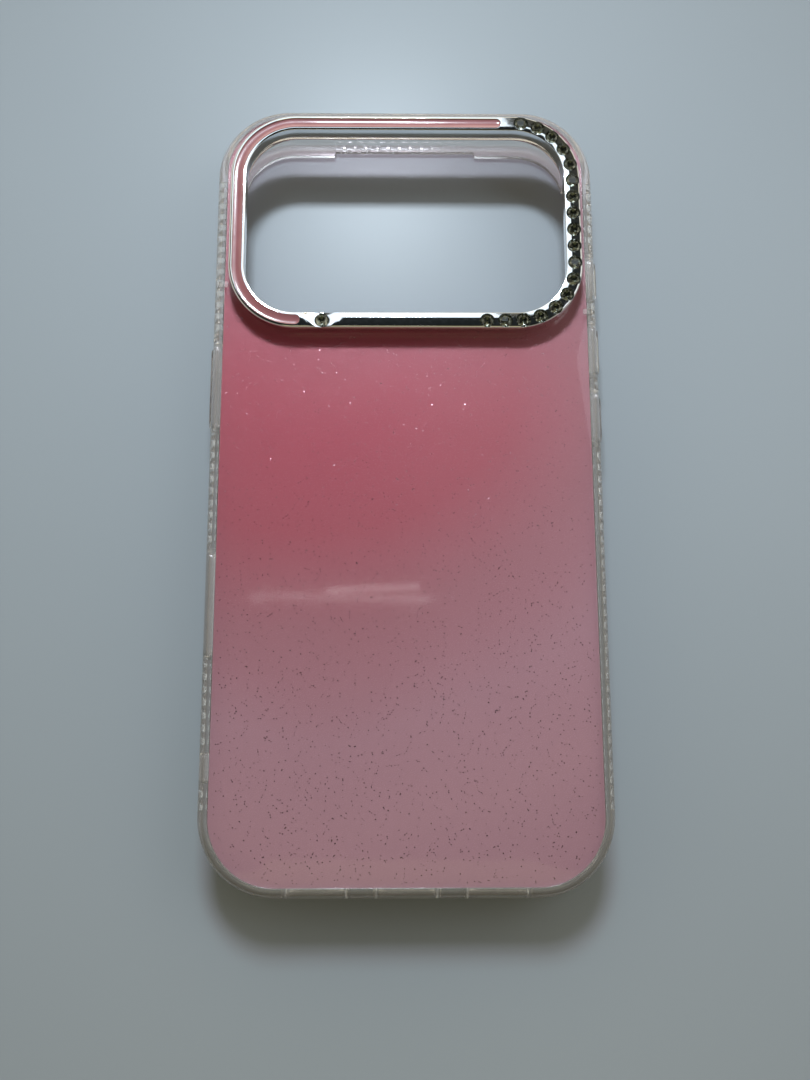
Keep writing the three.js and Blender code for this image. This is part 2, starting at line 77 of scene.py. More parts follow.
CASE_CORNER = 14.6
WALL = 2.0
LIP_DEPTH = 1.1
LIP_REACH = 3.45
LIP_REACH_CORNER = 4.45
LIP_STEP_X = 14.9
LIP_STEP_RUN = 0.5
LIP_EDGE = 0.35
LIP_ROUND = 1.0
LIP_LEAN = 0.1
FRONT_ROUND = (1.9, 2.4)
BACK_ROUND = (2.1, 4.4)
GLUE_GAP = 0.05
LEDGE_Z = film_low.z - GLUE_GAP
LEDGE_REACH = 4.15
LEDGE_EDGE = 0.15
PHONE_ROUND = 1.85
RIM_EDGE = 0.08  # chamfer where the frame meets the plate
LIP_START = (0.02, 0.01)  # run and rise at the foot of the wall's inner rounding
RIB = {"pitch": 2.35, "depth": 0.3, "share": 0.5, "end": 0.35, "foot": 0.02, "margin": 0.6}
RIB_PAD = {"share": 0.35, "height": 0.35, "fall": 0.04}

PLATE_EDGE = 0.25
PLATE_FOOT = 0.05
WINDOW_MARGIN = 0.4

# Flakes are kept with a chance that grows from the camera end to the lower end.
FLAKES = 3600
FLAKE_SEED = 7
FLAKE_SIDES = 6
FLAKE_RADIUS = (0.055, 0.115)
FLAKE_THICKNESS = 0.008
FLAKE_TILT = math.radians(4)
FLAKE_CHANCE = {"camera_end": 0.35, "gain": 0.65}
FLAKE_MARGIN = {"plate": 0.6, "window": 0.4}

# The print's colours follow an ellipse round its rosiest point.
PRINT_CENTRE = (-16.0, 24.0)
PRINT_REACH = (103.0, 99.0)
PRINT_DRIFT = 0.12

BEZEL_CORNER = 13.0
BEZEL_BAND = 3.05
ENAMEL_LINE = 1.6
BEZEL_FOOT = 0.3
BEZEL_INNER_BEVEL = (2.0, 0.12)
BEZEL_OUTER_BEVEL = (0.24, 0.24)
BEZEL_SOFTEN = 0.13
ENAMEL_START_X = 19.1
ENAMEL_END_X = -20.4
CHANNEL_HALF = 0.98
CHANNEL_DEPTH = 0.7
CHANNEL_FLARE = 0.07
ENAMEL_HALF = 0.93
ENAMEL_EDGE = 0.54
ENAMEL_SAG = 0.2
ENAMEL_LEAN = 0.11
BAR_TIP = 0.03  # share of its width that a bar keeps at its very end
BAR_END_CLEAR = 1.0
SEAT_RADIUS = 1.4
SEAT_DEPTH = 0.75
SEAT_CONE = 0.8

STONE = {"girdle": 1.28, "table": 0.74, "middle": 0.98, "lower": 0.7, "tip": 0.05}
STONE_SHARE = {"girdle": 0.5, "middle": 0.68, "lower": 0.5}  # height of each within its part
GIRDLE_HEIGHT = 0.14
STONE_SEED = 19
STONE_TILT = math.radians(2.5)
STONE_FLAT = math.radians(1.5)  # faces that differ by less are one facet
FACET = {"reach": 3.1, "run": 3.0, "width": 6.0, "height": 2.0, "slope": 10.0, "turn": 38.0}

BUTTON_FLANGE_RIM = 0.8
BUTTON_FLANGE = 0.7
BUTTON_CLEARANCE = 0.25
BUTTON_HALF_HEIGHT = 1.5
BUTTON_SOFTEN = 0.28
FLANGE_EDGES = (0.06, 0.1)
CROWN_DROP = 0.03
CROWN_STEPS = [(0.015, 0.25), (0.0, 0.6)]
SLOT_EDGE = (0.2, 0.12)

CAMERA_KEY = {"y": -24.0, "half_length": 10.6, "z": 5.6, "half_height": 2.5, "flare": 0.9}
LANYARD_SLOT = {"y": -54.2, "half_length": 2.8, "z": 5.4, "half_height": 1.1, "flare": 0.3}
PORT = {"pitch": 16.4, "half_length": 6.2, "z": 5.5, "half_height": 2.9, "flare": 0.6}
CUT_INSIDE = 6.0
CUT_OUTSIDE = 1.0

TAB = {"root": 1.1, "lap": 0.75, "width": 1.1, "thickness": 0.25, "lift": 0.06, "anchor": 0.5}
TAB_SOFTEN = 0.2
TABS = [(-1, 38.4), (1, 32.9)]

STONES = [f"rhinestone_{i:02d}" for i in range(1, 20)]
BUTTONS = ["side_button", "action_button", "volume_up_button", "volume_down_button"]

CORNER_STEPS = 44
RUN_STEP = 1.2
RIB_STEPS = 8
SHARP_ANGLE = math.radians(32)

# ---- camera ----

camera_data = bpy.data.cameras.new("camera")
camera_data.sensor_width = 36
camera_data.lens = 30
camera_data.clip_start = 0.005
camera_data.clip_end = 20
camera = bpy.data.objects.new("camera", camera_data)
camera.location = Vector((-2.1, -40.3, 177.7)) * MM
camera.rotation_euler = [math.radians(a) for a in (9.51, -0.62, -0.13)]
bpy.context.collection.objects.link(camera)
bpy.context.scene.camera = camera


# ---- outlines: rounded rectangles walked anticlockwise from the middle of the lower side ----

Place = namedtuple("Place", "x y nx ny length")


class Outline:
    def __init__(self, half_x, half_y, corner, centre_y=0.0):
        self.half_x, self.half_y, self.corner, self.centre_y = half_x, half_y, corner, centre_y
        self.run_x = half_x - corner
        self.run_y = half_y - corner
        self.arc = math.pi / 2 * corner
        self.total = 4 * (self.run_x + self.run_y + self.arc)

    def inset(self, distance):
        return Outline(
            self.half_x - distance, self.half_y - distance, self.corner - distance, self.centre_y
        )

    def legs(self):
        """(length, is a turn, start point or centre, start heading or angle) of each stretch."""
        x, y = self.run_x, self.run_y
        return [
            (x, False, (0, -self.half_y), 0),
            (self.arc, True, (x, -y), -90),
            (2 * y, False, (self.half_x, -y), 90),
            (self.arc, True, (x, y), 0),
            (2 * x, False, (x, self.half_y), 180),
            (self.arc, True, (-x, y), 90),
            (2 * y, False, (-self.half_x, y), 270),
            (self.arc, True, (-x, -y), 180),
            (x, False, (-x, -self.half_y), 0),
        ]

    def at(self, length):
        left = length % self.total
        for size, turns, point, angle in self.legs():
            if left <= size + 1e-9:
                break
            left -= size
        if turns:
            theta = math.radians(angle) + left / self.corner
            nx, ny = math.cos(theta), math.sin(theta)
            x, y = point[0] + self.corner * nx, point[1] + self.corner * ny
        else:
            heading = math.radians(angle)
            nx, ny = math.sin(heading), -math.cos(heading)
            x, y = point[0] + left * math.cos(heading), point[1] + left * math.sin(heading)
        return Place(x, y + self.centre_y, nx, ny, length % self.total)

    def lengths(self, run_step):
        """Lengths round the outline, with even steps in each straight run and each corner."""
        found, start = [], 0.0
        for size, turns, _, _ in self.legs():
            steps = CORNER_STEPS if turns else max(1, math.ceil(size / run_step))
            found += [start + size * i / steps for i in range(steps)]
            start += size
        return found

    def places(self, run_step=RUN_STEP, further=()):
        return [self.at(length) for length in sorted({*self.lengths(run_step), *further})]

    def top_length(self, x):
        return self.total / 2 - x


case_outline = Outline(CASE_HALF_X, CASE_HALF_Y, CASE_CORNER)
plate_outline = case_outline.inset(PLATE_INSET)
bezel_outline = Outline(
    bezel_high.x, (bezel_high.y - bezel_low.y) / 2, BEZEL_CORNER, (bezel_high.y + bezel_low.y) / 2
)
enamel_outline = bezel_outline.inset(ENAMEL_LINE)
window_outline = bezel_outline.inset(BEZEL_BAND - WINDOW_MARGIN)


# ---- meshes ----


def piece_from(name, points, faces, material, body="case", smooth=True):
    """A closed mesh from points in millimetres, turned face outwards."""
    mesh = bpy.data.meshes.new(name)
    mesh.from_pydata([Vector(p) * MM for p in points], [], faces)
    work = bmesh.new()
    work.from_mesh(mesh)
    bmesh.ops.recalc_face_normals(work, faces=work.faces)
    work.to_mesh(mesh)
    work.free()
    piece = bpy.data.objects.new(name, mesh)
    bpy.context.collection.objects.link(piece)
    if material is not None:
        mesh.materials.append(material)
        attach(piece, body)
        shade(piece, smooth)
    return piece


def shade(piece, smooth=True):
    if smooth:
        piece.data.shade_smooth()
        piece.data.set_sharp_from_angle(angle=SHARP_ANGLE)
    else:
        piece.data.shade_flat()


def join_loops(faces, first, second, size):
    for i in range(size):
        following = (i + 1) % size
        faces.append((first + i, second + i, second + following, first + following))


def swept_ring(places, section_at):
    """Points and faces of a section of (outward offset, z) carried round an outline."""
    points, faces = [], []
    for i, place in enumerate(places):
        section = section_at(place)
        size = len(section)
        points += [(place.x + place.nx * n, place.y + place.ny * n, z) for n, z in section]
        join_loops(faces, i * size, (i + 1) % len(places) * size, size)
    return points, faces


def lofted(loops):
    """Points and faces of a stack of loops, closed by a flat face at each end."""
    size = len(loops[0])
    faces = []
    for i in range(1, len(loops)):
        join_loops(faces, (i - 1) * size, i * size, size)
    faces.append(tuple(range(size)))
    faces.append(tuple(range((len(loops) - 1) * size, len(loops) * size)))
    return [point for loop in loops for point in loop], faces


def quarter(centre, radii, start, steps):
    """A quarter of an ellipse as (offset, z) points, anticlockwise from the start angle."""
    angles = [math.radians(start + 90 * i / steps) for i in range(steps + 1)]
    return [(centre[0] + radii[0] * math.cos(a), centre[1] + radii[1] * math.sin(a)) for a in angles]


def softened(loop, radius, steps=4):
    """A closed loop with each corner eased by a short curve."""
    eased = []
    for i, corner in enumerate(loop):
        corner = Vector(corner)
        before = Vector(loop[i - 1]) - corner
        after = Vector(loop[(i + 1) % len(loop)]) - corner
        start = corner + before.normalized() * min(radius, before.length * 0.45)
        end = corner + after.normalized() * min(radius, after.length * 0.45)
        for step in range(steps + 1):
            t = step / steps
            eased.append(tuple(start * (1 - t) ** 2 + corner * 2 * t * (1 - t) + end * t**2))
    return eased


def slab_loops(outline, levels):
    """Loops of an outline at each (z, inset)."""
    places = outline.places()
    return [[(p.x - p.nx * inset, p.y - p.ny * inset, z) for p in places] for z, inset in levels]


def stadium_loop(at, half_length, half_height, steps=20):
    """A loop with round ends, long in Y, that stands on the X axis."""
    straight = half_length - half_height
    loop = []
    for end in (1, -1):
        for i in range(steps + 1):
            angle = math.pi * (i / steps - 0.5)
            y = end * (straight + half_height * math.cos(angle))
            loop.append((at, y, end * half_height * math.sin(angle)))
    return loop


def moved(points, matrix):
    return [matrix @ Vector(p) for p in points]


def side_place(side, y, z):
    """Turns a shape made on the +X side to either side, at a height along the case."""
    return Matrix.Translation((0, y, z)) @ Matrix.Rotation(0 if side > 0 else math.pi, 4, "Z")


def cutter_from(points, faces):
    return piece_from("cutter", points, faces, None)


def boolean(piece, tools, operation="DIFFERENCE"):
    """Cuts each tool from a piece, or joins it to the piece, and removes the tool."""
    for tool in tools:
        step = piece.modifiers.new("boolean", "BOOLEAN")
        step.operation = operation
        step.solver = "MANIFOLD"
        step.object = tool
        graph = bpy.context.evaluated_depsgraph_get()
        result = bpy.data.meshes.new_from_object(piece.evaluated_get(graph))
        piece.modifiers.clear()
        old = piece.data
        piece.data = result
        result.name = piece.name
        bpy.data.meshes.remove(old)
        bpy.data.meshes.remove(tool.data)
    return piece


# ---- materials ----


class Nodes:
    """A short way to write a material's node tree."""

    def __init__(self, name):
        self.material = bpy.data.materials.new(name)
        self.material.use_nodes = True
        self.tree = self.material.node_tree
        self.shader = self.tree.nodes["Principled BSDF"]
        self.output = self.tree.nodes["Material Output"]

    def add(self, kind, **settings):
        made = self.tree.nodes.new(f"ShaderNode{kind}")
        for key, value in settings.items():
            setattr(made, key, value)
        return made

    def link(self, source, target):
        self.tree.links.new(source, target)

    def set(self, **values):
        for key, value in values.items():
            self.shader.inputs[key.replace("_", " ")].default_value = value

    def place(self):
        """The point in metres in the case's own frame."""
        return self.add("TexCoord").outputs["Object"]

    def noise(self, scale, detail=3.0, stretch=(1, 1, 1), roughness=0.5):
        mapping = self.add("Mapping")
        mapping.inputs["Scale"].default_value = stretch
        self.link(self.place(), mapping.inputs["Vector"])
        noise = self.add("TexNoise")
        noise.inputs["Scale"].default_value = scale
        noise.inputs["Detail"].default_value = detail
        noise.inputs["Roughness"].default_value = roughness
        self.link(mapping.outputs["Vector"], noise.inputs["Vector"])
        return noise.outputs["Fac"]

    def ramp(self, value, stops):
        """A colour ramp over (position, colour or grey level) stops."""
        ramp = self.add("ValToRGB")
        elements = ramp.color_ramp.elements
        while len(elements) < len(stops):
            elements.new(0.5)
        for element, (position, colour) in zip(elements, stops):
            element.position = position
            element.color = (*colour, 1) if isinstance(colour, tuple) else (colour,) * 3 + (1,)
        self.link(value, ramp.inputs["Fac"])
        return ramp.outputs["Color"]

    def math(self, operation, first, second=None, clamp=False):
        made = self.add("Math", operation=operation, use_clamp=clamp)
        for i, value in enumerate((first, second)):
            if isinstance(value, (int, float)):
                made.inputs[i].default_value = value
            elif value is not None:
                self.link(value, made.inputs[i])
        return made.outputs["Value"]

    def mix(self, factor, first, second):
        made = self.add("Mix", data_type="RGBA")
        for key, value in (("Factor", factor), ("A", first), ("B", second)):
            sockets = [s for s in made.inputs if s.name == key and s.enabled]
            if isinstance(value, (int, float)):
                sockets[0].default_value = value
            elif isinstance(value, tuple):
                sockets[0].default_value = (*value, 1)
            else:
                self.link(value, sockets[0])
        return [s for s in made.outputs if s.enabled][0]

    def bump(self, height, strength, distance):
        bump = self.add("Bump")
        bump.inputs["Strength"].default_value = strength
        bump.inputs["Distance"].default_value = distance
        self.link(height, bump.inputs["Height"])
        self.link(bump.outputs["Normal"], self.shader.inputs["Normal"])

    def clear_to_lamps(self, tint, scattered=None):
        """Lets lamp light and scattered light straight through, tinted, to light what lies beneath."""
        rays = self.add("LightPath")
        passing = self.math("MAXIMUM", rays.outputs["Is Shadow Ray"], rays.outputs["Is Diffuse Ray"])
        through = self.add("BsdfTransparent")
        if scattered is None:
            through.inputs["Color"].default_value = (*tint, 1)
        else:
            colour = self.mix(rays.outputs["Is Shadow Ray"], scattered, tint)
            self.link(colour, through.inputs["Color"])
        mix = self.add("MixShader")
        self.link(passing, mix.inputs["Fac"])
        self.link(self.shader.outputs["BSDF"], mix.inputs[1])
        self.link(through.outputs["BSDF"], mix.inputs[2])
        self.link(mix.outputs["Shader"], self.output.inputs["Surface"])


def clear_frame_material():
    made = Nodes("clear_tpu")
    made.set(Transmission_Weight=0.84, IOR=1.46)
    tone = made.ramp(made.noise(60, 4), [(0.3, (0.93, 0.905, 0.885)), (0.7, (0.965, 0.95, 0.935))])
    made.link(tone, made.shader.inputs["Base Color"])
    gloss = made.ramp(made.noise(900, 4), [(0.35, 0.05), (0.75, 0.13)])
    made.link(gloss, made.shader.inputs["Roughness"])
    made.clear_to_lamps((0.8, 0.75, 0.77), scattered=(0.5, 0.48, 0.44))
    return made.material


def clear_plate_material():
    made = Nodes("clear_plate")
    made.set(Transmission_Weight=1.0, IOR=1.49)
    tone = made.ramp(made.noise(40, 3), [(0.3, (0.985, 0.975, 0.975)), (0.7, (1.0, 0.995, 0.995))])
    made.link(tone, made.shader.inputs["Base Color"])
    gloss = made.ramp(made.noise(450, 5), [(0.3, 0.03), (0.8, 0.065)])
    made.link(gloss, made.shader.inputs["Roughness"])
    made.clear_to_lamps((0.97, 0.96, 0.96))
    return made.material


def print_material():
    """Rose left of the middle below the bezel, fading to mauve at the sides and the lower end."""
    made = Nodes("pink_print")
    split = made.add("SeparateXYZ")
    made.link(made.place(), split.inputs["Vector"])
    from_centre = made.math("SUBTRACT", split.outputs["X"], PRINT_CENTRE[0] * MM)
    across = made.math("DIVIDE", from_centre, PRINT_REACH[0] * MM)
    from_centre = made.math("SUBTRACT", split.outputs["Y"], PRINT_CENTRE[1] * MM)
    along = made.math("DIVIDE", from_centre, PRINT_REACH[1] * MM)
    squared = made.math("ADD", made.math("MULTIPLY", across, across), made.math("MULTIPLY", along, along))
    far = made.math("SQRT", squared)
    drift = made.math("MULTIPLY", made.math("SUBTRACT", made.noise(18, 2), 0.5), PRINT_DRIFT)
    colour = made.ramp(
        made.math("ADD", far, drift),
        [
            (0.16, (0.415, 0.062, 0.098)),
            (0.35, (0.42, 0.097, 0.13)),
            (0.54, (0.425, 0.18, 0.218)),
            (0.63, (0.455, 0.215, 0.26)),
            (0.73, (0.49, 0.265, 0.32)),
            (0.9, (0.515, 0.285, 0.337)),
            (1.0, (0.49, 0.27, 0.325)),
        ],
    )
    made.link(colour, made.shader.inputs["Base Color"])
    grain = made.ramp(made.noise(2600, 2), [(0.4, 0.38), (0.65, 0.5)])
    made.link(grain, made.shader.inputs["Roughness"])
    made.bump(made.noise(2600, 2), 0.12, 0.02 * MM)
    return made.material


def flake_material():
    made = Nodes("glitter")
    made.set(Metallic=1.0)
    tone = made.ramp(made.noise(300, 1), [(0.35, (0.34, 0.19, 0.22)), (0.65, (0.6, 0.42, 0.46))])
    made.link(tone, made.shader.inputs["Base Color"])
    gloss = made.ramp(made.noise(700, 1), [(0.52, 0.26), (0.66, 0.1)])
    made.link(gloss, made.shader.inputs["Roughness"])
    return made.material


def chrome_material():
    made = Nodes("chrome")
    made.set(Metallic=1.0)
    tone = made.ramp(made.noise(220, 3), [(0.3, (0.84, 0.85, 0.86)), (0.7, (0.9, 0.905, 0.91))])
    made.link(tone, made.shader.inputs["Base Color"])
    gloss = made.ramp(made.noise(1500, 4), [(0.35, 0.035), (0.8, 0.11)])
    made.link(gloss, made.shader.inputs["Roughness"])
    made.bump(made.noise(420, 2), 0.05, 0.02 * MM)
    return made.material


def enamel_material():
    made = Nodes("pink_enamel")
    tone = made.ramp(made.noise(150, 3), [(0.3, (0.36, 0.135, 0.145)), (0.7, (0.44, 0.18, 0.19))])
    made.link(tone, made.shader.inputs["Base Color"])
    made.set(Coat_Weight=1.0, Coat_Roughness=0.06, Coat_IOR=1.55)
    gloss = made.ramp(made.noise(900, 3), [(0.3, 0.12), (0.7, 0.22)])
    made.link(gloss, made.shader.inputs["Roughness"])
    made.bump(made.noise(260, 2), 0.08, 0.03 * MM)
    return made.material


def crystal_material():
    made = Nodes("crystal")
    made.set(Transmission_Weight=1.0, IOR=1.6)
    tone = made.ramp(made.noise(700, 2), [(0.3, (0.26, 0.29, 0.25)), (0.7, (0.42, 0.45, 0.4))])
    made.link(tone, made.shader.inputs["Base Color"])
    gloss = made.ramp(made.noise(1500, 2), [(0.3, 0.0), (0.7, 0.02)])
    made.link(gloss, made.shader.inputs["Roughness"])
    made.clear_to_lamps((0.85, 0.86, 0.84))
    return made.material


def button_material():
    made = Nodes("button_cap")
    made.set(Transmission_Weight=0.92, IOR=1.5)
    tone = made.ramp(made.noise(200, 3), [(0.3, (0.66, 0.68, 0.69)), (0.7, (0.74, 0.755, 0.76))])
    made.link(tone, made.shader.inputs["Base Color"])
    gloss = made.ramp(made.noise(1200, 3), [(0.3, 0.06), (0.7, 0.14)])
    made.link(gloss, made.shader.inputs["Roughness"])
    made.clear_to_lamps((0.6, 0.6, 0.6))
    return made.material


def adhesive_material():
    made = Nodes("adhesive")
    tone = made.ramp(made.noise(2500, 3), [(0.35, (0.015, 0.015, 0.017)), (0.7, (0.05, 0.05, 0.055))])
    made.link(tone, made.shader.inputs["Base Color"])
    made.set(Roughness=0.8)
    made.bump(made.noise(3000, 2), 0.3, 0.03 * MM)
    return made.material


def floor_material():
    made = Nodes("floor")
    tone = made.ramp(made.noise(3, 4), [(0.3, (0.40, 0.445, 0.49)), (0.7, (0.44, 0.485, 0.53))])
    made.link(tone, made.shader.inputs["Base Color"])
    made.set(Roughness=0.35, Specular_IOR_Level=0.3)
    made.bump(made.noise(900, 4), 0.08, 0.05 * MM)
    return made.material


clear_tpu = clear_frame_material()
clear_plate = clear_plate_material()
pink_print = print_material()
glitter = flake_material()
chrome = chrome_material()
pink_enamel = enamel_material()
crystal = crystal_material()
button_cap = button_material()
adhesive = adhesive_material()


# ---- bumper frame ----


def lip_reach(place):
    broad = place.ny > 0.2 and abs(place.x) > LIP_STEP_X
    return LIP_REACH_CORNER if broad else LIP_REACH


def wall_openings():
    """(side, lowest y, highest y) of each opening in a long wall."""
    openings = []
    for slot in (CAMERA_KEY, LANYARD_SLOT):
        openings.append((-1, slot["y"] - slot["half_length"], slot["y"] + slot["half_length"]))
    for name in BUTTONS:
        low, high = box_mm(name)
        openings.append((1 if low.x > 0 else -1, low.y, high.y))
    return openings


def rib_wave(along):
    return 0.5 + 0.5 * math.cos(2 * math.pi * along / RIB["pitch"])


def rib_groove(place, openings):
    """Depth of the cushioning grooves that run up the inside of each straight wall but the lower one."""
    on_side = abs(place.nx) > 0.999
    on_top = place.ny > 0.999
    if not (on_side or on_top):
        return 0.0
    along = place.y if on_side else place.x
    if on_side:
        margin = RIB["margin"]
        near = [o for o in openings if o[0] * place.nx > 0 and o[1] - margin < along < o[2] + margin]
        if near or abs(along) > case_outline.run_y - margin:
            return 0.0
    elif abs(along) > LIP_STEP_X - RIB["margin"]:
        return 0.0
    return RIB["depth"] * min(1.0, rib_wave(along) / RIB["share"])


def pad_top(place, offset):
    """Height of the small pad at the foot of each rib of the top wall, or 0 where there is none."""
    on_top = place.ny > 0.999 and abs(place.x) < LIP_STEP_X - RIB["margin"]
    if not on_top or rib_wave(place.x) > RIB_PAD["share"]:
        return 0.0
    return LIP_DEPTH + RIB_PAD["height"] + RIB_PAD["fall"] * (offset + WALL + LIP_ROUND)


def frame_section(place, openings):
    reach = lip_reach(place)
    groove = rib_groove(place, openings)
    hollow_top = LEDGE_Z - LEDGE_EDGE - PHONE_ROUND
    lip_top = LIP_DEPTH + LIP_ROUND
    wall_round = quarter((-LEDGE_REACH, hollow_top), (LEDGE_REACH - WALL, PHONE_ROUND), 0, 6)
    lip_round = quarter((-WALL - LIP_ROUND, lip_top), (LIP_ROUND, LIP_ROUND), 270, 5)
    lip_edge = quarter((-reach + LIP_EDGE, LIP_EDGE), (LIP_EDGE, LIP_EDGE), 180, 4)
    return [
        *lip_edge,
        *quarter((-FRONT_ROUND[0], FRONT_ROUND[1]), FRONT_ROUND, 270, 9),
        *quarter((-BACK_ROUND[0], BACK_Z - BACK_ROUND[1]), BACK_ROUND, 0, 11),
        (-PLATE_INSET + GLUE_GAP + RIM_EDGE, BACK_Z),
        (-PLATE_INSET + GLUE_GAP, BACK_Z - RIM_EDGE),
        (-PLATE_INSET + GLUE_GAP, LEDGE_Z),
        (-LEDGE_REACH, LEDGE_Z),
        *reversed(wall_round),
        (-WALL + groove, hollow_top - RIB["end"]),
        (-WALL + groove, lip_top + RIB["foot"]),
        *[(n, max(z, pad_top(place, n))) for n, z in reversed(lip_round)],
        (-WALL - LIP_ROUND - LIP_START[0], LIP_DEPTH + LIP_START[1]),
        (-reach, LIP_DEPTH + LIP_LEAN),
    ]


def wall_slot(half, slot):
    """A slot through the wall, flared at its mouth with a rounded edge."""
    length, height, flare = slot["half_length"], slot["half_height"], slot["flare"]
    steps = 6
    levels = [(half - CUT_INSIDE, 0.0)]
    for i in range(steps + 1):
        angle = math.pi / 2 * i / steps
        levels.append((half - flare + flare * math.sin(angle), flare * (1 - math.cos(angle))))
    levels.append((half + CUT_OUTSIDE, flare))
    return lofted([stadium_loop(at, length + grow, height + grow) for at, grow in levels])


def button_slot(half_length):
    length = half_length + BUTTON_CLEARANCE
    height = BUTTON_HALF_HEIGHT + BUTTON_CLEARANCE
    shoulder = CASE_HALF_X - WALL + BUTTON_FLANGE + BUTTON_CLEARANCE / 2
    rim = BUTTON_FLANGE_RIM
    levels = [
        (CASE_HALF_X - CUT_INSIDE, rim),
        (shoulder, rim),
        (shoulder, 0.0),
        (CASE_HALF_X - SLOT_EDGE[0], 0.0),
        (CASE_HALF_X, SLOT_EDGE[1]),
        (CASE_HALF_X + CUT_OUTSIDE, SLOT_EDGE[1]),
    ]
    return lofted([stadium_loop(at, length + grow, height + grow) for at, grow in levels])


def box_shape(low, high):
    """A box with eased upright corners."""
    corners = [(low[0], low[1]), (high[0], low[1]), (high[0], high[1]), (low[0], high[1])]
    loop = softened(corners, TAB_SOFTEN)
    return lofted([[(x, y, z) for x, y in loop] for z in (low[2], high[2])])


def keeper_tab(side, y):
    """A small tab of the frame that laps over the plate's edge: its root and its tongue."""
    outer = CASE_HALF_X - PLATE_INSET + TAB["root"]
    half = TAB["width"] / 2
    under = TAB["lift"]
    top = TAB["lift"] + TAB["thickness"]
    root = box_shape((outer - TAB["root"] + GLUE_GAP, -half, -TAB["anchor"]), (outer, half, top))
    tongue = box_shape((outer - TAB["root"] - TAB["lap"], -half, under), (outer, half, top))
    turn = side_place(side, y, BACK_Z)
    return [cutter_from(moved(points, turn), faces) for points, faces in (root, tongue)]


def bumper_frame():
    openings = wall_openings()
    lip_stops = [
        case_outline.top_length(side * (LIP_STEP_X + run * LIP_STEP_RUN / 2))
        for side in (-1, 1)
        for run in (-1, 1)
    ]
    places = case_outline.places(RIB["pitch"] / RIB_STEPS, lip_stops)
    points, faces = swept_ring(places, lambda place: frame_section(place, openings))
    piece = piece_from("clear_bumper", points, faces, clear_tpu)
    tools = []
    for name in BUTTONS:
        low, high = box_mm(name)
        side = 1 if low.x > 0 else -1
        points, faces = button_slot((high.y - low.y) / 2 - BUTTON_FLANGE_RIM)
        turn = side_place(side, (low.y + high.y) / 2, (low.z + high.z) / 2)
        tools.append(cutter_from(moved(points, turn), faces))
    for slot in (CAMERA_KEY, LANYARD_SLOT):
        points, faces = wall_slot(CASE_HALF_X, slot)
        tools.append(cutter_from(moved(points, side_place(-1, slot["y"], slot["z"])), faces))
    for index in (-1, 0, 1):
        points, faces = wall_slot(CASE_HALF_Y, PORT)
        turn = Matrix.Rotation(-math.pi / 2, 4, "Z")
        place = Matrix.Translation((index * PORT["pitch"], 0, PORT["z"]))
        tools.append(cutter_from(moved(points, place @ turn), faces))
    boolean(piece, tools)
    for side, y in TABS:
        boolean(piece, keeper_tab(side, y), "UNION")
    shade(piece)
    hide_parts("bumper_frame")


# ---- plate, print and glitter ----


def with_window(piece):
    levels = [(LEDGE_Z - CUT_OUTSIDE, 0), (BACK_Z + CUT_OUTSIDE, 0)]
    points, faces = lofted(slab_loops(window_outline, levels))
    boolean(piece, [cutter_from(points, faces)])
    shade(piece)
    return piece


def back_plate():
    rounding = quarter((0, 0), (PLATE_EDGE, PLATE_EDGE), 0, 6)
    edge = [(-PLATE_EDGE + n, BACK_Z - PLATE_EDGE + z) for n, z in rounding]
    levels = [(plate_low.z, PLATE_FOOT), (plate_low.z + PLATE_FOOT, 0.0)] + [(z, -n) for n, z in edge]
    points, faces = lofted(slab_loops(plate_outline, levels))
    piece = with_window(piece_from("back_panel", points, faces, clear_plate))
    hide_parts("back_plate")


def print_film():
    points, faces = lofted(slab_loops(plate_outline, [(film_low.z, 0), (film_high.z, 0)]))
    piece = with_window(piece_from("gradient_print", points, faces, pink_print))
    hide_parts("print_film")


def inside(outline, x, y, margin):
    """True where a point is inside an outline by at least the margin."""
    reach_x = abs(x) - outline.run_x
    reach_y = abs(y - outline.centre_y) - outline.run_y
    if reach_x > 0 and reach_y > 0:
        return math.hypot(reach_x, reach_y) < outline.corner - margin
    return abs(x) < outline.half_x - margin and abs(y - outline.centre_y) < outline.half_y - margin


def random_tilt(draw, spread):
    about_x = Matrix.Rotation(draw.gauss(0, spread), 4, "X")
    about_y = Matrix.Rotation(draw.gauss(0, spread), 4, "Y")
    return about_x @ about_y


def glitter_flakes():
    """Fine flakes in the gap between the print and the plate, densest towards the lower end."""
    draw = random.Random(FLAKE_SEED)
    points, faces = [], []
    middle_z = (film_high.z + plate_low.z) / 2
    count = 0
    while count < FLAKES:
        x = draw.uniform(-plate_outline.half_x, plate_outline.half_x)
        y = draw.uniform(-plate_outline.half_y, plate_outline.half_y)
        lower_share = 0.5 - y / (2 * plate_outline.half_y)
        if draw.random() > FLAKE_CHANCE["camera_end"] + FLAKE_CHANCE["gain"] * lower_share:
            continue
        if not inside(plate_outline, x, y, FLAKE_MARGIN["plate"]):
            continue
        if inside(window_outline, x, y, -FLAKE_MARGIN["window"]):
            continue
        radius = draw.uniform(*FLAKE_RADIUS)
        tilt = random_tilt(draw, FLAKE_TILT)
        spin = Matrix.Rotation(draw.uniform(0, math.pi), 4, "Z")
        turn = Matrix.Translation((x, y, middle_z)) @ tilt @ spin
        first = len(points)
        for z in (-FLAKE_THICKNESS / 2, FLAKE_THICKNESS / 2):
            for i in range(FLAKE_SIDES):
                angle = 2 * math.pi / FLAKE_SIDES * i
                points.append(turn @ Vector((radius * math.cos(angle), radius * math.sin(angle), z)))
        second = first + FLAKE_SIDES
        join_loops(faces, first, second, FLAKE_SIDES)
        faces.append(tuple(range(first, second)))
        faces.append(tuple(range(second, second + FLAKE_SIDES)))
        count += 1
    piece_from("glitter_flakes", points, faces, glitter, smooth=False)


# ---- bezel, enamel and stones ----


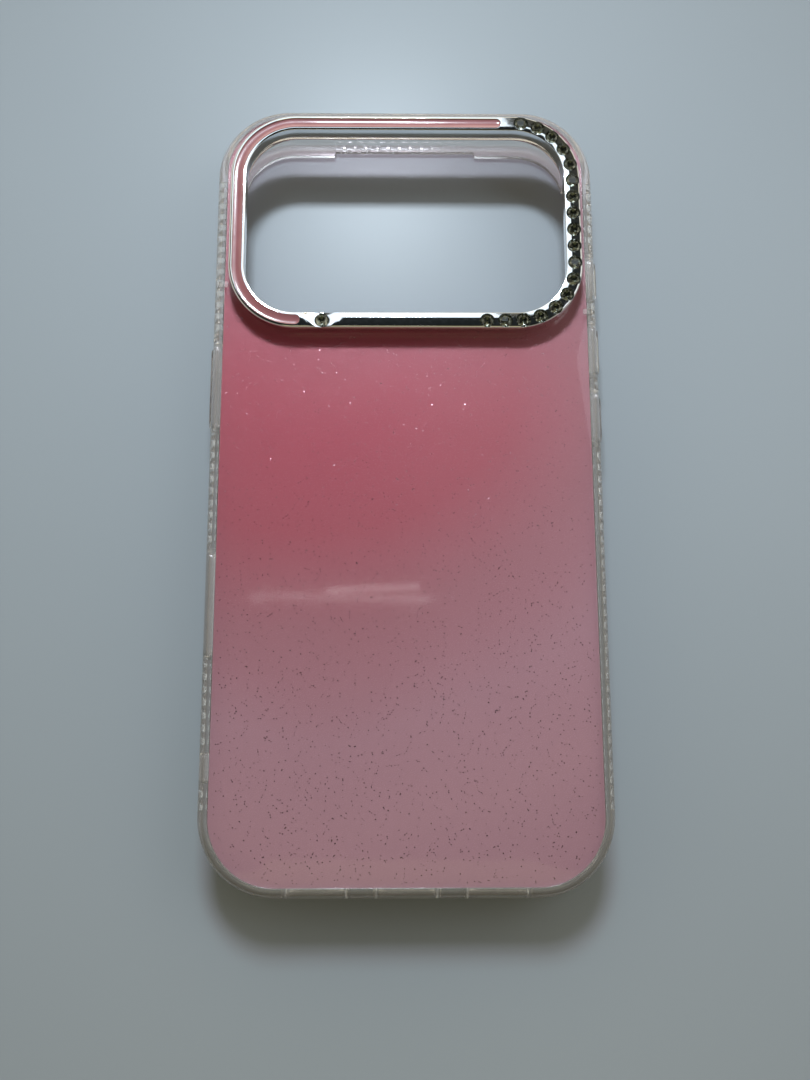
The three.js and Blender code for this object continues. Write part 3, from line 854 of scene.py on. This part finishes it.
def bezel_section():
    corners = [
        (-BEZEL_BAND, BEZEL_BASE_Z),
        (-BEZEL_FOOT, BEZEL_BASE_Z),
        (0, BEZEL_BASE_Z + BEZEL_FOOT),
        (0, BEZEL_TOP_Z - BEZEL_OUTER_BEVEL[1]),
        (-BEZEL_OUTER_BEVEL[0], BEZEL_TOP_Z),
        (-BEZEL_INNER_BEVEL[0], BEZEL_TOP_Z),
        (-BEZEL_BAND, BEZEL_TOP_Z - BEZEL_INNER_BEVEL[1]),
    ]
    return softened(corners, BEZEL_SOFTEN, 3)


def bar_shape(start, end, half_width, section_of, steps=14):
    """A bar along the middle of the enamel channel, with ends that are round in plan."""
    angles = [math.pi / 2 * i / steps for i in range(steps + 1)]
    ends = [(half_width * (1 - math.sin(a)), max(math.cos(a), BAR_TIP)) for a in angles]
    once = enamel_outline.lengths(RUN_STEP)
    twice = once + [length + enamel_outline.total for length in once]
    middle = [m for m in twice if start + BAR_END_CLEAR < m < end - BAR_END_CLEAR]
    stops = [(start + back, scale) for back, scale in reversed(ends)]
    stops += [(length, 1.0) for length in middle]
    stops += [(end - back, scale) for back, scale in ends]
    loops = []
    for length, scale in stops:
        at = enamel_outline.at(length)
        loops.append([(at.x + at.nx * n, at.y + at.ny * n, z) for n, z in section_of(scale)])
    return lofted(loops)


ENAMEL_START = enamel_outline.top_length(ENAMEL_START_X)
ENAMEL_END = enamel_outline.total + ENAMEL_END_X


def channel_section(scale):
    half = CHANNEL_HALF * scale
    floor = BEZEL_TOP_Z - CHANNEL_DEPTH
    flare = half + CHANNEL_FLARE * scale
    return [
        (-half, floor),
        (half, floor),
        (half, BEZEL_TOP_Z - CHANNEL_FLARE),
        (flare, BEZEL_TOP_Z),
        (flare, BEZEL_TOP_Z + CUT_OUTSIDE),
        (-flare, BEZEL_TOP_Z + CUT_OUTSIDE),
        (-flare, BEZEL_TOP_Z),
        (-half, BEZEL_TOP_Z - CHANNEL_FLARE),
    ]


def enamel_section(scale):
    floor = BEZEL_TOP_Z - CHANNEL_DEPTH + GLUE_GAP
    half = ENAMEL_HALF * scale
    steps = 20
    surface = []
    for i in range(steps + 1):
        share = 1 - 2 * i / steps
        dip = ENAMEL_SAG * (1 - share * share) + ENAMEL_LEAN * share
        surface.append((half * share, floor + ENAMEL_EDGE - dip * scale))
    return [(-half, floor), (half, floor), *surface]


def turned(profile, sides):
    """Points and faces of a (radius, z) profile that starts and ends on the Z axis, turned round it."""
    points = [(0, 0, profile[0][1]), (0, 0, profile[-1][1])]
    faces = []
    rings = profile[1:-1]
    for radius, z in rings:
        for i in range(sides):
            angle = 2 * math.pi * i / sides
            points.append((radius * math.cos(angle), radius * math.sin(angle), z))
    for ring in range(len(rings) - 1):
        join_loops(faces, 2 + ring * sides, 2 + (ring + 1) * sides, sides)
    last = 2 + (len(rings) - 1) * sides
    for i in range(sides):
        following = (i + 1) % sides
        faces.append((0, 2 + i, 2 + following))
        faces.append((1, last + i, last + following))
    return points, faces


def stone_centre(name):
    low, high = box_mm(name)
    return (low + high) / 2


def seat_tool(name):
    centre = stone_centre(name)
    profile = [
        (0, -SEAT_DEPTH - SEAT_CONE),
        (SEAT_RADIUS, -SEAT_DEPTH),
        (SEAT_RADIUS, 0),
        (SEAT_RADIUS, CUT_OUTSIDE),
        (0, CUT_OUTSIDE),
    ]
    points, faces = turned(profile, 48)
    turn = Matrix.Translation((centre.x, centre.y, BEZEL_TOP_Z))
    return cutter_from(moved(points, turn), faces)


def facet_tool(side):
    """A sloping cut beside the single stone that leaves a flat facet falling towards it."""
    run, width, height = FACET["run"], FACET["width"], FACET["height"]
    loop = [(-run, -width / 2), (0, -width / 2), (0, width / 2), (-run, width / 2)]
    points, faces = lofted([[(x, y, z) for x, y in loop] for z in (0, height)])
    slope = Matrix.Rotation(-math.radians(FACET["slope"]), 4, "Y")
    angle = math.radians(FACET["turn"])
    turn = Matrix.Rotation(-angle if side > 0 else math.pi + angle, 4, "Z")
    stone = stone_centre(STONES[-1])
    place = Matrix.Translation((stone.x + side * FACET["reach"], stone.y, BEZEL_TOP_Z))
    return cutter_from(moved(points, place @ turn @ slope), faces)


def camera_bezel():
    section = bezel_section()
    points, faces = swept_ring(bezel_outline.places(), lambda place: section)
    piece = piece_from("chrome_bezel", points, faces, chrome)
    points, faces = bar_shape(ENAMEL_START, ENAMEL_END, CHANNEL_HALF, channel_section)
    tools = [cutter_from(points, faces), facet_tool(1), facet_tool(-1)]
    tools += [seat_tool(name) for name in STONES]
    boolean(piece, tools)
    shade(piece)
    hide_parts("camera_bezel")


def enamel_inlay():
    inset = CHANNEL_HALF - ENAMEL_HALF
    points, faces = bar_shape(ENAMEL_START + inset, ENAMEL_END - inset, ENAMEL_HALF, enamel_section)
    piece = piece_from("dished_enamel", points, faces, pink_enamel)
    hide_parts("enamel_inlay")


def stone_points(low_z, high_z):
    """Corners of a round cut stone: table, crown, girdle, pavilion and point."""
    girdle_z = low_z + STONE_SHARE["girdle"] * (high_z - low_z)
    crown_z = girdle_z + GIRDLE_HEIGHT
    rings = [
        (STONE["table"], high_z, 8, 0.0),
        (STONE["middle"], crown_z + (high_z - crown_z) * STONE_SHARE["middle"], 8, 0.5),
        (STONE["girdle"], crown_z, 16, 0.0),
        (STONE["girdle"], girdle_z, 16, 0.0),
        (STONE["lower"], low_z + (girdle_z - low_z) * STONE_SHARE["lower"], 8, 0.5),
        (STONE["tip"], low_z, 8, 0.0),
    ]
    points = []
    for radius, z, sides, offset in rings:
        for i in range(sides):
            angle = 2 * math.pi * (i + offset) / sides
            points.append(Vector((radius * math.cos(angle), radius * math.sin(angle), z)))
    return points


def stones():
    draw = random.Random(STONE_SEED)
    for name in STONES:
        low, high = box_mm(name)
        centre = (low + high) / 2
        tilt = random_tilt(draw, STONE_TILT)
        turn = Matrix.Translation(centre) @ tilt @ Matrix.Rotation(draw.uniform(0, math.pi / 4), 4, "Z")
        work = bmesh.new()
        for point in stone_points(low.z - centre.z, high.z - centre.z):
            work.verts.new((turn @ point) * MM)
        hull = bmesh.ops.convex_hull(work, input=work.verts)
        left_over = hull["geom_interior"] + hull["geom_unused"]
        spare = [v for v in left_over if isinstance(v, bmesh.types.BMVert)]
        bmesh.ops.delete(work, geom=spare, context="VERTS")
        bmesh.ops.dissolve_limit(work, angle_limit=STONE_FLAT, verts=work.verts, edges=work.edges)
        bmesh.ops.recalc_face_normals(work, faces=work.faces)
        mesh = bpy.data.meshes.new(f"cut_{name}")
        work.to_mesh(mesh)
        work.free()
        mesh.materials.append(crystal)
        piece = bpy.data.objects.new(mesh.name, mesh)
        bpy.context.collection.objects.link(piece)
        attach(piece, "case")
        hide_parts(name)


# ---- press caps ----


def press_cap(name):
    """A stadium cap with a crowned, eased face and a flange behind the wall."""
    low, high = box_mm(name)
    side = 1 if low.x > 0 else -1
    near, far = sorted((abs(low.x), abs(high.x)))
    half_length = (high.y - low.y) / 2 - BUTTON_FLANGE_RIM
    rim = BUTTON_FLANGE_RIM
    soft = BUTTON_SOFTEN
    inner, outer = FLANGE_EDGES
    levels = [(near, rim - inner), (near + inner, rim), (near + BUTTON_FLANGE - outer, rim)]
    levels += [(near + BUTTON_FLANGE, rim - outer), (near + BUTTON_FLANGE, 0.0)]
    steps = 7
    for i in range(steps + 1):
        angle = math.pi / 2 * i / steps
        at = far - soft + (soft - CROWN_DROP) * math.sin(angle)
        levels.append((at, -soft * (1 - math.cos(angle))))
    levels += [(far - drop, -soft - run) for drop, run in CROWN_STEPS]
    loops = [stadium_loop(at, half_length + grow, BUTTON_HALF_HEIGHT + grow) for at, grow in levels]
    points, faces = lofted(loops)
    turn = side_place(side, (low.y + high.y) / 2, (low.z + high.z) / 2)
    piece = piece_from(f"cap_{name}", moved(points, turn), faces, button_cap, body=name)
    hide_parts(name)


# ---- assembly ----

bumper_frame()
back_plate()
print_film()
glitter_flakes()
camera_bezel()
enamel_inlay()
stones()
for cap in BUTTONS:
    press_cap(cap)

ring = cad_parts["bezel_adhesive_ring"]
ring.data.materials.clear()
ring.data.materials.append(adhesive)

# ---- studio ----

FLOOR_HALF = 1500
FLOOR_DROP = Vector((0, 0, 0.00002))  # metres; keeps the floor just clear of the lip
floor_points = [(x * FLOOR_HALF, y * FLOOR_HALF, 0) for x, y in ((-1, -1), (1, -1), (1, 1), (-1, 1))]
floor_mesh = bpy.data.meshes.new("floor")
floor_mesh.from_pydata([Vector(p) * MM - FLOOR_DROP for p in floor_points], [], [(0, 1, 2, 3)])
floor_mesh.materials.append(floor_material())
floor = bpy.data.objects.new("floor", floor_mesh)
bpy.context.collection.objects.link(floor)


def studio_world():
    """A soft room: dark straight overhead, bright round the sides and brightest past the camera end."""
    world = bpy.data.worlds.new("studio")
    bpy.context.scene.world = world
    world.use_nodes = True
    tree = world.node_tree
    background = tree.nodes["Background"]
    coordinates = tree.nodes.new("ShaderNodeTexCoord")
    split = tree.nodes.new("ShaderNodeSeparateXYZ")
    ramp = tree.nodes.new("ShaderNodeValToRGB")
    stops = [
        (0.0, (0.6, 0.55, 0.46)),
        (0.25, (1.0, 0.93, 0.76)),
        (0.5, (0.48, 0.45, 0.35)),
        (0.7, (0.07, 0.065, 0.05)),
        (0.85, (0.014, 0.016, 0.015)),
        (1.0, (0.009, 0.011, 0.012)),
    ]
    while len(ramp.color_ramp.elements) < len(stops):
        ramp.color_ramp.elements.new(0.5)
    for element, (position, colour) in zip(ramp.color_ramp.elements, stops):
        element.position = position
        element.color = (*colour, 1)
    strength = tree.nodes.new("ShaderNodeMapRange")
    strength.interpolation_type = "SMOOTHSTEP"
    strength.inputs["From Min"].default_value = -0.8
    strength.inputs["From Max"].default_value = 1
    strength.inputs["To Min"].default_value = 0.3
    strength.inputs["To Max"].default_value = 1.6
    tree.links.new(coordinates.outputs["Generated"], split.inputs["Vector"])
    tree.links.new(split.outputs["Z"], ramp.inputs["Fac"])
    tree.links.new(split.outputs["Y"], strength.inputs["Value"])
    tree.links.new(ramp.outputs["Color"], background.inputs["Color"])
    tree.links.new(strength.outputs["Result"], background.inputs["Strength"])


def soft_lamp(name, location, target, size, power, colour):
    """A rectangular area lamp; places and sizes are in metres and power in watts."""
    data = bpy.data.lights.new(name, "AREA")
    data.shape = "RECTANGLE"
    data.size, data.size_y = size
    data.energy = power
    data.color = colour
    lamp = bpy.data.objects.new(name, data)
    lamp.location = location
    lamp.rotation_euler = (Vector(target) - Vector(location)).to_track_quat("-Z", "Y").to_euler()
    bpy.context.collection.objects.link(lamp)


studio_world()
soft_lamp(
    "key", (-0.01, 0.196, 0.22), target=(0, -1.2, 0),
    size=(0.05, 0.04), power=0.76, colour=(0.8, 0.91, 1.0),
)
soft_lamp(
    "key_surround", (-0.022, 0.187, 0.215), target=(0, -0.04, 0),
    size=(0.14, 0.105), power=0.066, colour=(0.8, 0.91, 1.0),
)
soft_lamp(
    "side_fill", (0.25, 0.12, 0.3), target=(0.08, 0, 0),
    size=(0.2, 0.2), power=0.16, colour=(0.9, 0.95, 1.0),
)
soft_lamp(
    "front_fill", (0, -0.35, 0.45), target=(0, 0, 0),
    size=(0.4, 0.3), power=0.2, colour=(1.0, 0.9, 0.5),
)
soft_lamp(
    "ceiling_strip", (-0.029, 0.029, 0.5), target=(-0.029, 0.029, 0),
    size=(0.1, 0.005), power=0.004, colour=(1.0, 0.97, 0.94),
)

bpy.context.scene.view_settings.view_transform = "Standard"
